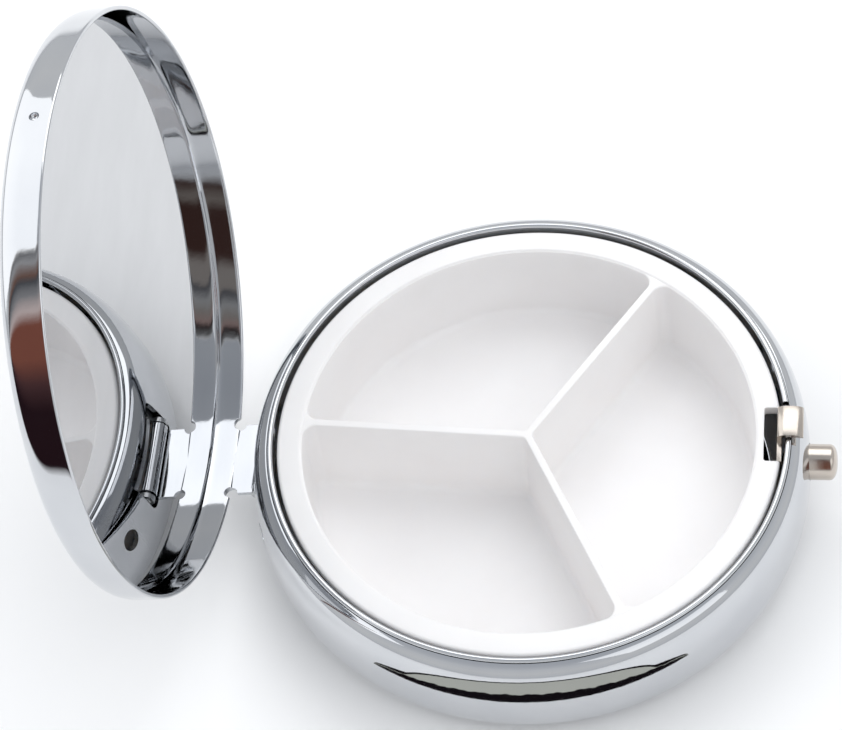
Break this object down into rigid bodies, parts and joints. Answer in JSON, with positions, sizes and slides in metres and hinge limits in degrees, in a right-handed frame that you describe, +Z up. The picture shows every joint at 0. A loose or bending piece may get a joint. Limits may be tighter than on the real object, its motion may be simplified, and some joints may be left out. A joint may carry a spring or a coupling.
{
  "type": "travel pill organizer",
  "caption": "Round plated metal pill case with a hinged mirror lid, a push-button latch and a lift-out white tray divided into equal compartments.",
  "frame": {"origin": "centre of the base's flat underside", "axes": "+Z up out of the tray, +X from the hinge towards the push button, +Y across the hinge pin"},
  "size_m": [0.0648, 0.05, 0.0547],
  "materials": {
    "chrome_plate": "bright chrome plate on pressed steel, with faint handling marks",
    "plain_steel": "plain zinc-grey steel",
    "tray_plastic": "satin white moulded polypropylene, slightly translucent",
    "nickel_plate": "warm bright nickel plate",
    "mirror_glass": "flat silvered glass",
    "foam_tape": "matt double-sided foam tape"
  },
  "bodies": {
    "base": {"base_shell": "chrome_plate", "rim_collar": "chrome_plate", "hinge_bracket": "plain_steel", "hinge_pin": "plain_steel"},
    "lid": {"lid_shell": "chrome_plate", "mirror_disc": "mirror_glass", "mirror_pad": "foam_tape"},
    "tray": {"pill_tray": "tray_plastic"},
    "latch": {"latch_clip": "nickel_plate"},
    "button": {"push_button": "nickel_plate"}
  },
  "joints": [
    {"name": "lid_hinge", "type": "hinge", "parent": "base", "child": "lid", "pos_m": [-0.02415, 0, 0.00645], "axis": [0, 1, 0], "range_deg": [0, 98]},
    {"name": "button_push", "type": "slide", "parent": "base", "child": "button", "axis": [-1, 0, 0], "range_m": [0, 0.00045], "stiffness_N_per_m": 3000, "springref_m": -0.0003},
    {"name": "clip_flex", "type": "hinge", "parent": "base", "child": "latch", "pos_m": [0.0229, 0, 0.0033], "axis": [0, -1, 0], "range_deg": [0, 7.2]},
    {"name": "tray_lift", "type": "slide", "parent": "base", "child": "tray", "axis": [0, 0, 1], "range_m": [0, 0.014]}
  ],
  "couplings": [
    {"joint": "clip_flex", "follows": "button_push", "rad_per_m": 270}
  ]
}
